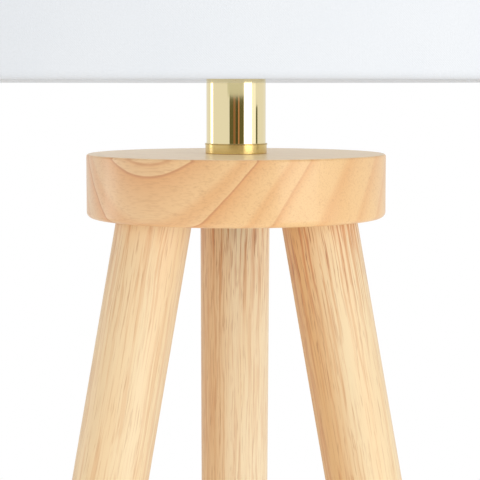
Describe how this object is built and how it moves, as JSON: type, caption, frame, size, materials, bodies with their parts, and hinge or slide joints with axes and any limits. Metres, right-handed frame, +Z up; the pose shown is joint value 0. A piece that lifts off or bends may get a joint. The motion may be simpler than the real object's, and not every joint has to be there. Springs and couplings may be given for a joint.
{
  "type": "tripod floor lamp",
  "caption": "Floor lamp: three splayed round wooden legs in a thick round wooden hub, a polished brass neck, a turn-switch lampholder and a wide white drum shade.",
  "frame": {"origin": "on the floor, straight under the neck's axis", "axes": "+Z up along the neck; -Y is the front, with one leg at the back (+Y) and two legs to the front left and right; +X is the viewer's right"},
  "size_m": [0.5158, 0.5202, 1.5],
  "materials": {
    "hub_wood": "sanded, clear matt lacquer, cathedral grain on its edge",
    "leg_wood": "sanded, clear matt lacquer, fine lengthwise grain",
    "rubber": "matt, moulded",
    "zinc_steel": "zinc plated, dull",
    "satin_brass": "satin, a little darker than the tube",
    "polished_brass": "polished bright",
    "black_plastic": "moulded, matt",
    "black_phenolic": "moulded, glossy",
    "plain_brass": "stamped, bare",
    "porcelain": "glazed white",
    "white_wire": "white powder coat",
    "shade_lining": "white PVC sheet, smooth",
    "shade_cloth": "plain weave, bright white",
    "nickel": "nickel plated",
    "bulb_plastic": "white, smooth",
    "bulb_globe": "milky, satin",
    "led_board": "white solder mask on aluminium"
  },
  "bodies": {
    "stand": {"hub": "hub_wood", "leg_back": "leg_wood", "leg_left": "leg_wood", "leg_right": "leg_wood", "leg_inserts": "zinc_steel", "hanger_bolts": "zinc_steel", "foot_pad_back": "rubber", "foot_pad_left": "rubber", "foot_pad_right": "rubber", "foot_screws": "zinc_steel", "hub_cover": "black_plastic", "hub_washer": "zinc_steel", "hub_nut": "zinc_steel", "threaded_rod": "zinc_steel", "cord_bush": "black_plastic", "neck_collar": "satin_brass", "neck_tube": "polished_brass", "neck_cap": "satin_brass", "holder_nut": "zinc_steel", "holder_cap": "black_phenolic", "holder_shell": "black_phenolic", "contact_block": "porcelain", "screw_sleeve": "plain_brass", "centre_contact": "plain_brass", "terminal_screws": "plain_brass", "switch_contacts": "plain_brass"},
    "switch": {"switch_rotor": "plain_brass", "switch_knob": "black_phenolic"},
    "ring": {"shade_ring": "black_phenolic"},
    "shade": {"shade_fitter": "white_wire", "shade_lower_wire": "white_wire", "shade_upper_wire": "white_wire", "shade_liner": "shade_lining", "shade_cover": "shade_cloth", "shade_lower_hem": "shade_cloth", "shade_upper_hem": "shade_cloth"},
    "bulb": {"bulb_contact": "nickel", "bulb_insulator": "black_plastic", "bulb_cap": "nickel", "bulb_body": "bulb_plastic", "bulb_globe": "bulb_globe", "led_plate": "led_board"}
  },
  "joints": [
    {"name": "shade_swivel", "type": "hinge", "parent": "stand", "child": "shade", "pos_m": [0, 0, 1.3115], "axis": [0, 0, 1], "continuous": true},
    {"name": "ring_turn", "type": "hinge", "parent": "stand", "child": "ring", "pos_m": [0, 0, 1.314], "axis": [0, 0, 1], "continuous": true},
    {"name": "bulb_turn", "type": "hinge", "parent": "stand", "child": "bulb", "pos_m": [0, 0, 1.3199], "axis": [0, 0, 1], "continuous": true},
    {"name": "knob_turn", "type": "hinge", "parent": "stand", "child": "switch", "pos_m": [0, 0, 1.2971], "axis": [1, 0, 0], "continuous": true}
  ]
}
